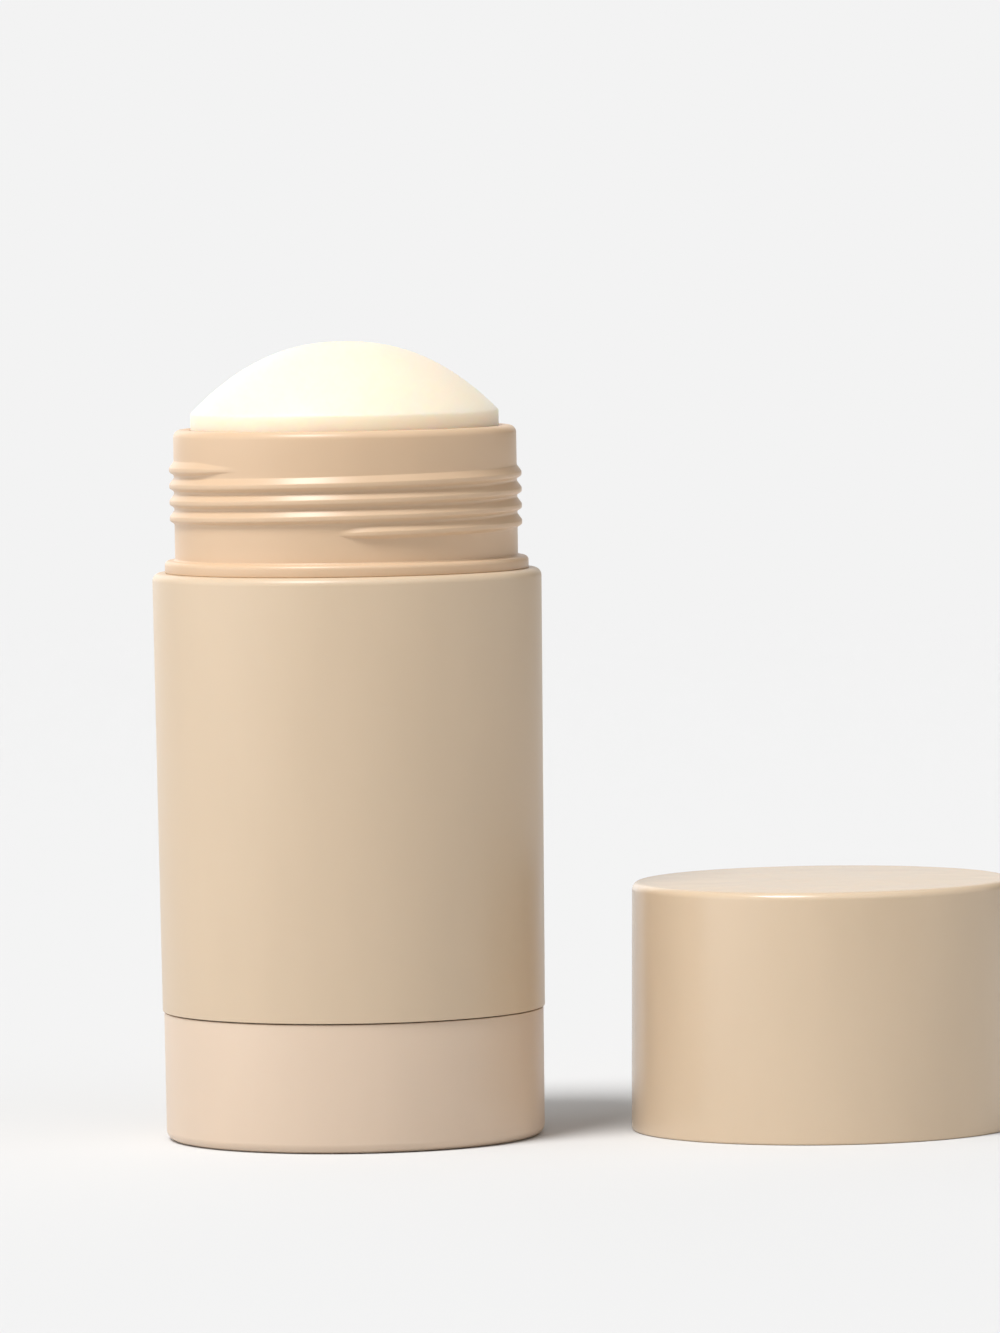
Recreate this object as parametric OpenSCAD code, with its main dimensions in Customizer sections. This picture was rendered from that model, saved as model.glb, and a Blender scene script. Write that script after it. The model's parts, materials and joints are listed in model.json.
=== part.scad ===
// Twist-up deodorant stick with a double wall, its screw cap standing beside it.
// Millimetres, Z up. The origin is the centre of the flat foot under the dial.
// Sizes run from the product outwards, so a thicker stick makes a thicker pack.

/* [Product] */
// Diameter of the stick of product
product_d = 39.9; // [33:0.1:48]
// Height of the dome above the straight side
dome_h = 9.1; // [6:0.1:11]
// How full the dome is: 2 gives a parabola, and more gives fuller shoulders
dome_power = 2.25; // [2:0.05:2.6]
// Rounding where the dome meets the straight side
edge_round = 0.5; // [0.3:0.05:0.8]
// How far the straight side stands out of the neck as modelled
exposed_h = 2; // [1.5:0.1:3.5]
// Radial gap between the product and the bore
product_gap = 0.25; // [0.15:0.01:0.4]
// Gap left between the product and the anchor it is poured around
pour_gap = 0.05; // [0.02:0.01:0.1]

/* [Inner barrel] */
// Wall of the barrel below the bead
barrel_wall = 1.3; // [0.9:0.05:1.7]
// Wall of the neck that carries the thread
neck_wall = 2; // [1.6:0.05:2.6]
// Height of the neck from the bead to the rim
neck_h = 16.9; // [14:0.1:22]
// Rounding of the rim's outer edge
rim_round = 1; // [0.6:0.05:1.3]
// Rounding of the rim's inner edge
rim_inner_round = 0.4; // [0.2:0.05:0.6]
// How far the bead stands out from the neck
bead_out = 1.35; // [1:0.05:1.65]
// Height of the bead
bead_h = 1.6; // [1.2:0.05:2]
// Rounding of the bead's upper edge
bead_round = 0.6; // [0.3:0.05:0.9]
// Thickness of the barrel's floor
floor_t = 1.8; // [1.4:0.1:2.4]
// Height of the floor's top face above the sleeve's lower edge
floor_rise = 5.8; // [4.5:0.1:8]
// Number of guide ribs in the bore
guide_count = 4; // [2:1:6]
// How far a guide rib stands into the bore
guide_depth = 0.6; // [0.4:0.05:0.8]
// Width of a guide rib
guide_w = 1.6; // [1:0.1:2.4]
// How far below the rim the guide ribs end
guide_drop = 12; // [8:0.5:15]

/* [Neck thread] */
// Pitch of the single-start right-hand thread
thread_pitch = 2.1; // [1.7:0.05:2.5]
// Height of the thread above the neck
thread_h = 0.6; // [0.45:0.05:0.75]
// Width of the thread at its foot
thread_foot_w = 1.5; // [1.2:0.05:1.6]
// Width of the thread at its crest
thread_crest_w = 0.45; // [0.3:0.05:0.6]
// How far the crest lies below the middle of the ridge, which makes the upper flank the gentler one
thread_lean = 0.15; // [0:0.05:0.25]
// Turns of the thread
thread_turns = 3.9; // [3:0.1:4.7]
// Compass angle at which the thread starts
thread_start = -94; // [-180:1:180]
// Height of the thread's start above the bead
thread_rise = 4.05; // [3:0.05:4.8]
// Angle over which the thread grows to full height at each end
thread_fade = 20; // [12:1:40]

/* [Outer sleeve] */
// Height of the sleeve
sleeve_h = 56.8; // [45:0.1:70]
// Wall of the sleeve
sleeve_wall = 1.6; // [1.2:0.05:2]
// How much smaller the sleeve's radius is at its lower edge
sleeve_draft = 0.4; // [0.2:0.05:0.6]
// Rounding of the sleeve's top edge
sleeve_round = 1; // [0.6:0.05:1.3]
// Thickness of the inward lip that the bead sits on
lip_t = 2; // [1.5:0.1:2.6]
// Radial gap between the barrel and the sleeve's lip and ribs
lip_gap = 0.15; // [0.1:0.01:0.25]
// Number of stiffening ribs inside the sleeve
sleeve_ribs = 8; // [4:1:12]
// Width of a stiffening rib
sleeve_rib_w = 1; // [0.8:0.1:1.6]
// How far the ribs stop short of the lip and of the lower edge
sleeve_rib_inset = 2; // [1.6:0.1:3]
// Width of each key that stops the sleeve turning on the barrel
key_w = 3; // [2:0.1:4]
// How far each key stands out from the barrel
key_out = 0.9; // [0.6:0.05:1.1]
// Gap around each key in its notch
key_gap = 0.15; // [0.1:0.01:0.25]
// How far the snap bead under the lip stands out
snap_out = 0.35; // [0.25:0.05:0.45]
// Height of the snap bead
snap_h = 1.2; // [0.8:0.1:1.5]
// Gap between the snap bead and the lip
snap_gap = 0.1; // [0.05:0.01:0.2]

/* [Base dial] */
// Height of the dial
dial_h = 16.4; // [13:0.1:20]
// Gap between the dial and the sleeve
seam_gap = 0.3; // [0.2:0.05:0.5]
// How much smaller the dial's radius is than the cap's
dial_inset = 0.58; // [0.4:0.02:0.8]
// How much smaller the dial's radius is at its foot than at its top
dial_draft = 0.08; // [0:0.02:0.2]
// Wall of the dial
dial_wall = 1.6; // [1.2:0.05:2]
// Thickness of the dial's floor
dial_floor_t = 1.8; // [1.4:0.1:2.4]
// Rounding of the dial's lower edge
dial_round = 1.3; // [0.8:0.05:1.7]
// Rounding at the seam, on the dial and on the sleeve
seam_round = 0.3; // [0.2:0.05:0.4]
// Width of the flat ring that the pack stands on
foot_w = 3; // [2:0.1:4]
// Depth of the recess inside that ring
recess_h = 0.6; // [0.4:0.05:0.9]
// Radial gap between the dial's guide ring and the barrel's skirt
guide_gap = 0.2; // [0.12:0.01:0.3]
// Wall of the guide ring
guide_wall = 1.2; // [0.9:0.05:1.6]
// How far the guide ring stays below the dial's top
guide_top_drop = 2; // [1:0.1:4]
// Space between the barrel's lower edge and the dial's floor
skirt_clear = 3.5; // [2:0.1:5]
// Wall of the hub around the spindle's foot
hub_wall = 2.6; // [2:0.1:3.4]
// Number of webs between the hub and the guide ring
web_count = 6; // [3:1:8]
// Thickness of a web
web_t = 1.2; // [0.9:0.05:1.6]
// How far the webs stay below the dial's top
web_drop = 6; // [4:0.5:9]

/* [Spindle] */
// Diameter over the spindle's thread
spindle_d = 8; // [7:0.1:9.5]
// Height of the spindle's thread
spindle_thread_h = 1.1; // [0.9:0.05:1.3]
// Lead of the left-hand thread: the rise for one turn of the dial
spindle_lead = 5; // [4.1:0.1:6]
// Width of the spindle's thread at its foot
spindle_foot_w = 2; // [1.6:0.1:2.4]
// Width of the spindle's thread at its crest
spindle_crest_w = 1; // [0.8:0.1:1.2]
// Diameter of the journal that turns in the barrel's floor
journal_d = 7; // [5.8:0.1:8.4]
// Radial running gap around the journal
journal_gap = 0.08; // [0.05:0.01:0.1]
// Up and down play of the dial and spindle on the barrel's floor
end_play = 0.15; // [0.1:0.01:0.25]
// How far the thrust collar stands out from the journal
collar_out = 3; // [2:0.1:4]
// Thickness of the thrust collar
collar_t = 1.6; // [1.2:0.1:2]
// Side of the square foot that drives the spindle
key_side = 4.6; // [3.8:0.1:5.5]
// Gap around the square foot in the dial's hub
socket_gap = 0.05; // [0.02:0.01:0.1]
// How far below the rim the spindle ends
spindle_drop = 8; // [6:0.5:10]

/* [Elevator] */
// Thickness of the platform under the product
platform_t = 1.5; // [1.2:0.1:2]
// Height of the elevator's skirt below the platform
skirt_h = 12.6; // [10:0.1:16]
// Wall of the elevator's skirt
skirt_wall = 1.5; // [1.2:0.05:1.9]
// Radial gap between the elevator and the bore
slide_gap = 0.2; // [0.12:0.01:0.3]
// Gap between a guide rib and its notch, in the elevator and in the product
rib_gap = 0.25; // [0.15:0.01:0.35]
// Gap under the elevator at the bottom of its travel
bottom_gap = 0.4; // [0.3:0.05:0.6]
// Gap between the spindle's thread and the nut's
nut_gap = 0.25; // [0.18:0.01:0.35]
// Wall of the threaded boss
boss_wall = 2.3; // [1.8:0.1:3]
// Number of webs under the platform
elevator_webs = 4; // [3:1:8]
// Height of a web under the platform
elevator_web_h = 8; // [6:0.5:9.5]
// Outer diameter of the ring that anchors the product
anchor_d = 26; // [22:0.5:31]
// Height of the anchor ring above the platform
anchor_h = 7; // [5:0.5:10]
// Wall of the anchor ring
anchor_wall = 1.2; // [0.9:0.05:1.6]
// Angle of each of the anchor ring's four slots
anchor_slot = 30; // [20:1:45]

/* [Cap] */
// Wall of the cap's shell at its mouth
cap_wall = 1.35; // [1.1:0.05:1.7]
// Thickness of the shell's top
cap_top_t = 1.2; // [0.9:0.05:1.5]
// How much smaller the shell's radius is at its top
cap_draft = 0.5; // [0.3:0.05:0.6]
// Rounding of the shell's top edge
cap_round = 1; // [0.7:0.05:1.3]
// Rounding of the shell's mouth
mouth_round = 0.3; // [0.2:0.05:0.4]
// Wall of the liner
liner_wall = 0.8; // [0.6:0.05:1]
// Thickness of the liner's top
liner_top_t = 0.9; // [0.7:0.05:1.1]
// Radial gap between the liner and the shell
liner_gap = 0.05; // [0.02:0.01:0.1]
// Space between the dome and the liner when the cap is on
head_room = 0.55; // [0.3:0.05:1]
// Space between the bead and the liner's lower edge when the cap is on
bead_clear = 0.4; // [0.3:0.05:0.6]
// Radial gap between the neck's thread and the liner
thread_gap = 0.2; // [0.15:0.01:0.3]
// Turns of the liner's thread
cap_turns = 1.8; // [1.2:0.1:2.4]
// Width of the liner's thread at its foot
cap_thread_foot_w = 1; // [0.8:0.05:1.15]
// Width of the liner's thread at its crest
cap_thread_crest_w = 0.35; // [0.25:0.05:0.45]
// Free space between the pack and the cap that stands beside it
cap_gap = 11.3; // [5:0.1:30]

/* [Hidden] */
$fn = 96;
eps = 0.4;            // how far joined shapes reach into each other
neck_segments = 48;   // flat steps in a turn of the neck's and the liner's thread
screw_segments = 24;  // flat steps in a turn of the spindle's thread
dome_steps = 20;      // straight steps in the dome's curve
end_share = 0.3;      // share of its width that a ridge still has at its end
snap_peak = 0.7;      // share of the snap bead's height that lies below its peak
key_count = 2;        // keys between the sleeve and the barrel
guide_start = 45;     // compass angle of the first guide rib
web_start = 30;       // compass angle of the first web in the dial
anchor_parts = 4;     // parts of the slotted anchor ring
spindle_fade = 60;    // angle over which the spindle's thread grows to full height
nut_fade = 30;        // angle over which the nut's thread grows to full height
cap_thread_start = 90; // compass angle at which the liner's thread starts

// Radii, from the product outwards
product_r = product_d / 2;
bore_r = product_r + product_gap;
barrel_r = bore_r + barrel_wall;
neck_r = bore_r + neck_wall;
bead_r = neck_r + bead_out;
thread_r = neck_r + thread_h;
liner_in_r = thread_r + thread_gap;
liner_out_r = liner_in_r + liner_wall;
shell_in_r = liner_out_r + liner_gap;
pack_r = shell_in_r + cap_wall;
cap_top_r = pack_r - cap_draft;
sleeve_low_r = pack_r - sleeve_draft;
lip_r = barrel_r + lip_gap;
dial_r = pack_r - dial_inset;
dial_low_r = dial_r - dial_draft;
guide_r = bore_r - guide_gap;
elevator_r = bore_r - slide_gap;
journal_r = journal_d / 2;
spindle_r = spindle_d / 2;
core_r = spindle_r - spindle_thread_h;
nut_r = spindle_r + nut_gap;
boss_r = nut_r + boss_wall;
hub_r = key_side / sqrt(2) + hub_wall;
collar_r = journal_r + collar_out;

// Heights, from the foot upwards
dial_floor_z = recess_h + dial_floor_t;
barrel_z = dial_floor_z + skirt_clear;
sleeve_z = dial_h + seam_gap;
floor_z = sleeve_z + floor_rise;
hub_top_z = floor_z - floor_t - end_play;
collar_z = floor_z + end_play;
collar_top_z = collar_z + collar_t;
retract = exposed_h;
skirt_z = floor_z + bottom_gap + retract;
platform_z = skirt_z + skirt_h + platform_t;
boss_z = collar_top_z + bottom_gap + retract;
sleeve_top_z = sleeve_z + sleeve_h;
bead_top_z = sleeve_top_z + bead_h;
rim_z = bead_top_z + neck_h;
guide_top_z = rim_z - guide_drop;
spindle_top_z = rim_z - spindle_drop;
dome_edge_z = rim_z + exposed_h;
dome_top_z = dome_edge_z + dome_h;

// The cap, from its own mouth upwards
liner_z = bead_h + bead_clear;
liner_top_z = dome_top_z - sleeve_top_z + head_room + liner_top_t;
cap_h = liner_top_z + cap_top_t;
cap_x = dial_r + cap_gap + pack_r;

// Points of an arc from angle a to angle b
function arc(x, y, r, a, b, steps = 8) =
    [for (i = [0 : steps]) let (t = a + (b - a) * i / steps) [x + r * cos(t), y + r * sin(t)]];

// A thread ridge as one closed shape. It starts at angle "start" and height z, climbs "pitch" in
// each turn, and grows from foot_r to crest_r over "fade" degrees at both ends. A crest_r inside
// foot_r gives an inner thread. "hand" is 1 for a right-hand thread and -1 for a left-hand one.
// The crest's middle is at the height given, and the ridge's foot lies higher by "lean".
module ridge(foot_r, crest_r, foot_w, crest_w, pitch, turns, start, z, segments, fade, hand = 1,
             lean = 0) {
    steps = ceil(turns * segments);
    turned = turns * 360;
    least = 0.04;
    points = [
        for (i = [0 : steps])
            let (
                t = turned * i / steps,
                grown = max(least, min(1, t / fade, (turned - t) / fade)),
                r = foot_r + (crest_r - foot_r) * grown,
                share = end_share + (1 - end_share) * grown,
                half_foot = foot_w / 2 * share,
                half_crest = crest_w / 2 * share,
                a = start + hand * t,
                h = z + pitch * t / 360,
                middle = h + lean * share
            )
            each [
                [foot_r * cos(a), foot_r * sin(a), middle - half_foot],
                [r * cos(a), r * sin(a), h - half_crest],
                [r * cos(a), r * sin(a), h + half_crest],
                [foot_r * cos(a), foot_r * sin(a), middle + half_foot]
            ]
    ];
    last = 4 * steps;
    sides = [
        for (i = [0 : steps - 1], k = [0 : 3])
            let (a = 4 * i + k, b = 4 * i + (k + 1) % 4)
            each [[a, b, b + 4], [a, b + 4, a + 4]]
    ];
    ends = [[0, 2, 1], [0, 3, 2], [last, last + 1, last + 2], [last, last + 2, last + 3]];
    faces = concat(sides, ends);
    turned_out = hand * (crest_r > foot_r ? 1 : -1) > 0;
    polyhedron(points, turned_out ? faces : [for (f = faces) [f[0], f[2], f[1]]]);
}

// Bars that stand around the axis, between two radii and two heights
module bars(count, first, inner_r, outer_r, width, low, high) {
    for (i = [0 : count - 1])
        rotate([0, 0, first + i * 360 / count])
            translate([inner_r, -width / 2, low])
                cube([outer_r - inner_r, width, high - low]);
}

module outer_sleeve() {
    lip_z = sleeve_top_z - lip_t;
    color([0.86, 0.76, 0.65]) {
        difference() {
            rotate_extrude()
                polygon(concat(
                    [[sleeve_low_r - sleeve_wall, sleeve_z]],
                    arc(sleeve_low_r - seam_round, sleeve_z + seam_round, seam_round, -90, 0, 3),
                    arc(pack_r - sleeve_round, sleeve_top_z - sleeve_round, sleeve_round, 0, 90),
                    [
                        [lip_r, sleeve_top_z],
                        [lip_r, lip_z],
                        [pack_r - sleeve_wall, lip_z]
                    ]
                ));
            bars(key_count, 0, lip_r - eps, barrel_r + key_out + key_gap, key_w + 2 * key_gap,
                 lip_z - eps, sleeve_top_z + eps);
        }
        bars(sleeve_ribs, 180 / sleeve_ribs, lip_r, (sleeve_low_r + pack_r - sleeve_wall) / 2,
             sleeve_rib_w, sleeve_z + sleeve_rib_inset, lip_z - sleeve_rib_inset);
    }
}

module inner_barrel() {
    snap_z = sleeve_top_z - lip_t - snap_gap - snap_h;
    hole_r = journal_r + journal_gap;
    color([0.87, 0.77, 0.66]) {
        rotate_extrude()
            polygon(concat(
                [
                    [bore_r, barrel_z],
                    [barrel_r, barrel_z],
                    [barrel_r, snap_z],
                    [barrel_r + snap_out, snap_z + snap_h * snap_peak],
                    [barrel_r, snap_z + snap_h],
                    [barrel_r, sleeve_top_z],
                    [bead_r, sleeve_top_z]
                ],
                arc(bead_r - bead_round, bead_top_z - bead_round, bead_round, 0, 90, 6),
                [[neck_r, bead_top_z]],
                arc(neck_r - rim_round, rim_z - rim_round, rim_round, 0, 90),
                arc(bore_r + rim_inner_round, rim_z - rim_inner_round, rim_inner_round, 90, 180, 4),
                [
                    [bore_r, floor_z],
                    [hole_r, floor_z],
                    [hole_r, floor_z - floor_t],
                    [bore_r, floor_z - floor_t]
                ]
            ));
        bars(key_count, 0, barrel_r - eps, barrel_r + key_out, key_w, sleeve_top_z - lip_t,
             sleeve_top_z);
        bars(guide_count, guide_start, bore_r - guide_depth, bore_r + eps, guide_w, floor_z - eps,
             guide_top_z);
        ridge(neck_r - eps, thread_r, thread_foot_w, thread_crest_w, thread_pitch, thread_turns,
              thread_start, bead_top_z + thread_rise, neck_segments, thread_fade,
              lean = thread_lean);
    }
}

module base_dial() {
    foot_r = dial_low_r - dial_round;
    guide_top = dial_h - guide_top_drop;
    side = key_side + 2 * socket_gap;
    color([0.86, 0.75, 0.66]) {
        difference() {
            rotate_extrude()
                polygon(concat(
                    [
                        [0, recess_h],
                        [foot_r - foot_w, recess_h],
                        [foot_r - foot_w, 0]
                    ],
                    arc(foot_r, dial_round, dial_round, -90, 0),
                    arc(dial_r - seam_round, dial_h - seam_round, seam_round, 0, 90, 4),
                    [
                        [dial_r - dial_wall, dial_h],
                        [dial_low_r - dial_wall, dial_floor_z],
                        [guide_r, dial_floor_z],
                        [guide_r, guide_top],
                        [guide_r - guide_wall, guide_top],
                        [guide_r - guide_wall, dial_floor_z],
                        [hub_r, dial_floor_z],
                        [hub_r, hub_top_z],
                        [0, hub_top_z]
                    ]
                ));
            translate([-side / 2, -side / 2, dial_floor_z])
                cube([side, side, hub_top_z]);
        }
        bars(web_count, web_start, hub_r - eps, guide_r - guide_wall + eps, web_t, dial_floor_z - eps,
             dial_h - web_drop);
    }
}

module spindle() {
    tip = spindle_thread_h;
    thread_z = collar_top_z + spindle_foot_w;
    turns = (spindle_top_z - tip - spindle_foot_w / 2 - thread_z) / spindle_lead;
    color([0.94, 0.94, 0.92]) {
        translate([-key_side / 2, -key_side / 2, dial_floor_z + eps])
            cube([key_side, key_side, hub_top_z - dial_floor_z]);
        translate([0, 0, hub_top_z])
            cylinder(h = collar_z - hub_top_z + eps, r = journal_r);
        translate([0, 0, collar_z])
            cylinder(h = collar_t, r = collar_r);
        translate([0, 0, collar_top_z - eps])
            cylinder(h = spindle_top_z - tip - collar_top_z + eps, r = core_r);
        translate([0, 0, spindle_top_z - tip])
            cylinder(h = tip, r1 = core_r, r2 = core_r - tip / 2);
        ridge(core_r - eps, spindle_r, spindle_foot_w, spindle_crest_w, spindle_lead, turns, 0,
              thread_z, screw_segments, spindle_fade, -1);
    }
}

// The slotted ring on the platform that the product is poured around
module anchor(gap = 0) {
    outer_r = anchor_d / 2 + gap;
    inner_r = anchor_d / 2 - anchor_wall - gap;
    part_angle = 360 / anchor_parts - anchor_slot + 2 * gap / inner_r * 180 / PI;
    for (i = [0 : anchor_parts - 1])
        rotate([0, 0, i * 360 / anchor_parts - part_angle / 2])
            rotate_extrude(angle = part_angle)
                translate([inner_r, platform_z - eps])
                    square([outer_r - inner_r, anchor_h + gap + eps]);
}

// Room for the barrel's guide ribs, up to the height given
module guide_notches(high) {
    bars(guide_count, guide_start, bore_r - guide_depth - rib_gap, bore_r + eps,
         guide_w + 2 * rib_gap, skirt_z - eps, high);
}

module elevator() {
    under_z = platform_z - platform_t;
    // The nut's ridge fills the spindle's groove but for the gap on each flank
    slope = (spindle_foot_w - spindle_crest_w) / spindle_thread_h;
    nut_crest_w = spindle_lead - 2 * nut_gap - spindle_foot_w + slope * nut_gap;
    nut_foot_w = nut_crest_w + slope * spindle_thread_h;
    nut_z = boss_z + nut_foot_w / 2;
    nut_turns = (platform_z - nut_foot_w / 2 - nut_z) / spindle_lead;
    // Half a turn away from the spindle's own ridge, at the height where the nut's starts
    nut_start = 180 - 360 * (nut_z - collar_top_z - spindle_foot_w) / spindle_lead;
    color([0.95, 0.95, 0.93]) {
        difference() {
            union() {
                rotate_extrude()
                    polygon([
                        [nut_r, platform_z],
                        [elevator_r, platform_z],
                        [elevator_r, skirt_z],
                        [elevator_r - skirt_wall, skirt_z],
                        [elevator_r - skirt_wall, under_z],
                        [boss_r, under_z],
                        [boss_r, boss_z],
                        [nut_r, boss_z]
                    ]);
                bars(elevator_webs, 0, boss_r - eps, elevator_r - skirt_wall + eps, web_t,
                     under_z - elevator_web_h, under_z + eps);
                anchor();
            }
            guide_notches(platform_z + eps);
        }
        ridge(nut_r + eps, core_r + nut_gap, nut_foot_w, nut_crest_w, spindle_lead, nut_turns,
              nut_start, nut_z, screw_segments, nut_fade, -1);
    }
}

// Height of the dome's surface at a radius
function dome_z(r) = dome_top_z - dome_h * pow(r / product_r, dome_power);

module product_stick() {
    // The rounded edge turns from the straight side into the slope of the dome's rim
    edge_turn = atan(product_r / (dome_h * dome_power));
    edge_r = product_r - edge_round * (1 - cos(edge_turn));
    edge_z = dome_z(edge_r) - edge_round * sin(edge_turn);
    color([0.99, 0.96, 0.90])
        difference() {
            rotate_extrude()
                polygon(concat(
                    [[0, platform_z], [product_r, platform_z]],
                    arc(product_r - edge_round, edge_z, edge_round, 0, edge_turn, 4),
                    [for (i = [1 : dome_steps]) let (r = edge_r * (1 - i / dome_steps)) [r, dome_z(r)]]
                ));
            translate([0, 0, platform_z - eps])
                cylinder(h = spindle_top_z + retract + bottom_gap - platform_z + eps, r = nut_r);
            anchor(pour_gap);
            guide_notches(guide_top_z + retract + bottom_gap);
        }
}

module cap_shell() {
    color([0.87, 0.77, 0.65])
        translate([cap_x, 0, 0])
            rotate_extrude()
                polygon(concat(
                    [[shell_in_r, 0]],
                    arc(pack_r - mouth_round, mouth_round, mouth_round, -90, 0, 3),
                    arc(cap_top_r - cap_round, cap_h - cap_round, cap_round, 0, 90),
                    [
                        [0, cap_h],
                        [0, liner_top_z],
                        [shell_in_r, liner_top_z]
                    ]
                ));
}

module cap_liner() {
    ceiling_z = liner_top_z - liner_top_t;
    // With the cap on, the liner's ridge runs midway between two turns of the neck's
    ridge_turns = (cap_thread_start - thread_start) / 360 + 0.5;
    color([0.88, 0.79, 0.68])
        translate([cap_x, 0, 0]) {
            rotate_extrude()
                polygon([
                    [liner_in_r, liner_z],
                    [liner_out_r, liner_z],
                    [liner_out_r, liner_top_z],
                    [0, liner_top_z],
                    [0, ceiling_z],
                    [liner_in_r, ceiling_z]
                ]);
            ridge(liner_in_r + eps, neck_r + thread_gap, cap_thread_foot_w, cap_thread_crest_w,
                  thread_pitch, cap_turns, cap_thread_start,
                  bead_h + thread_rise + thread_pitch * ridge_turns, neck_segments, thread_fade);
        }
}

outer_sleeve();
inner_barrel();
base_dial();
spindle();
elevator();
product_stick();
cap_shell();
cap_liner();
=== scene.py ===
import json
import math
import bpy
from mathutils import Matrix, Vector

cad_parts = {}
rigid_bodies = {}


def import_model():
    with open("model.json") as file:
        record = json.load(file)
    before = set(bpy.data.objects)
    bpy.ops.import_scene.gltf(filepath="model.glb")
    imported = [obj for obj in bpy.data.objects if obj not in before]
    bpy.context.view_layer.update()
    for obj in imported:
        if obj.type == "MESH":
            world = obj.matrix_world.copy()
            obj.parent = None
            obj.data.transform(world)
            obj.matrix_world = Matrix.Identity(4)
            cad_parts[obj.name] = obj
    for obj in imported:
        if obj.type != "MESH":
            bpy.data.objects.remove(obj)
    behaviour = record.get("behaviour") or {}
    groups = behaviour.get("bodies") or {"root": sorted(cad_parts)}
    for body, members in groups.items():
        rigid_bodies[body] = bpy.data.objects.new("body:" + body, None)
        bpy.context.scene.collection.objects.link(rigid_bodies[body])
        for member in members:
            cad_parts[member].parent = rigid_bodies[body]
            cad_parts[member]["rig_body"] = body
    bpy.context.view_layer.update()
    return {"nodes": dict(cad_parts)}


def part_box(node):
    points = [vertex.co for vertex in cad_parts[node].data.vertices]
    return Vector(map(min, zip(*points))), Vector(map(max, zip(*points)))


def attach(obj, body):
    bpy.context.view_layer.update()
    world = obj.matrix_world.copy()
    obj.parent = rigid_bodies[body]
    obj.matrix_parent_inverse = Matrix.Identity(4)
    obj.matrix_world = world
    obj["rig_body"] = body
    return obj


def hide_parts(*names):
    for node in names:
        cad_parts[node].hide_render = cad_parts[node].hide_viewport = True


bl_info = {
    "name": "Deodorant stick",
    "version": (1, 0, 0),
    "blender": (4, 5, 0),
    "location": "3D View > Sidebar > Deodorant stick",
    "description": "Dresses a twist-up deodorant stick and its cap around their packed solids",
    "category": "Add Mesh",
}

import bmesh
import bpy
from bpy.props import FloatProperty, FloatVectorProperty, IntProperty, PointerProperty
from mathutils import Matrix

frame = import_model()

MM = 0.001
# Flat steps in a full turn, fine enough for a smooth outline in a close view
COLUMNS = 320
# Equal parts in which a full turn is spun
SECTORS = 16
# How far joined shapes reach into each other
OVERLAP = 0.4 * MM
# Points nearer to each other than this are one point
MERGE = 0.01 * MM
# A fold sharper than this is drawn as an edge
SHARP_ANGLE = math.radians(34)
# Roundings of plain moulded edges, from the crispest to the softest
CRISP_EDGE = 0.1 * MM
FINE_EDGE = 0.15 * MM
PLAIN_EDGE = 0.2 * MM
SOFT_EDGE = 0.3 * MM
# Roundings in moulded corners: in the foot's recess, at the end of a deep wall and under the cap's top
RECESS_CORNER = 0.25 * MM
WALL_CORNER = 0.5 * MM
CEILING_CORNER = 0.8 * MM
# Share of the snap bead's height that lies above its peak
SNAP_PEAK = 0.3
# How far a ridge's flanks have drawn in where it has faded out, as a share of their distance from
# its crest
FADE_SLIP = 0.6

SLEEVE_LOW, SLEEVE_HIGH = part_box("outer_sleeve")
BARREL_LOW, BARREL_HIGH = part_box("inner_barrel")
DIAL_LOW, DIAL_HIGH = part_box("base_dial")
STICK_LOW, STICK_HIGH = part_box("product_stick")
SPINDLE_LOW, SPINDLE_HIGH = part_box("spindle")
SHELL_LOW, SHELL_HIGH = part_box("cap_shell")
LINER_LOW, LINER_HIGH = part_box("cap_liner")


# Settings


class SleeveSettings(bpy.types.PropertyGroup):
    radius: FloatProperty(
        name="Radius", description="Outer radius at the top edge",
        default=SLEEVE_HIGH.y, min=0.0, unit="LENGTH",
    )
    draft: FloatProperty(
        name="Draft", description="How much smaller the radius is at the lower edge",
        default=0.4 * MM, min=0.0, unit="LENGTH",
    )
    wall: FloatProperty(
        name="Wall", description="Thickness of the wall",
        default=1.6 * MM, min=0.0, unit="LENGTH",
    )
    top_rounding: FloatProperty(
        name="Top rounding", description="Radius of the rounded top edge",
        default=1.0 * MM, min=0.0, unit="LENGTH",
    )
    seam_rounding: FloatProperty(
        name="Seam rounding", description="Radius of the lower edge at the seam",
        default=0.12 * MM, min=0.0, unit="LENGTH",
    )
    lip: FloatProperty(
        name="Lip", description="Thickness of the inward lip under the bead",
        default=2.0 * MM, min=0.0, unit="LENGTH",
    )
    lip_radius: FloatProperty(
        name="Lip radius", description="Inner radius of the lip and of the ribs",
        default=21.65 * MM, min=0.0, unit="LENGTH",
    )
    notch_radius: FloatProperty(
        name="Notch radius", description="How far out the key notches in the lip reach",
        default=22.55 * MM, min=0.0, unit="LENGTH",
    )
    notch_width: FloatProperty(
        name="Notch width", description="Width of each key notch",
        default=3.3 * MM, min=0.0, unit="LENGTH",
    )
    ribs: IntProperty(name="Ribs", description="Number of stiffening ribs inside", default=8, min=1)
    rib_width: FloatProperty(
        name="Rib width", description="Width of each stiffening rib",
        default=1.0 * MM, min=0.0, unit="LENGTH",
    )
    rib_inset: FloatProperty(
        name="Rib inset", description="How far the ribs stop short of the lip and of the lower edge",
        default=2.0 * MM, min=0.0, unit="LENGTH",
    )


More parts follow.
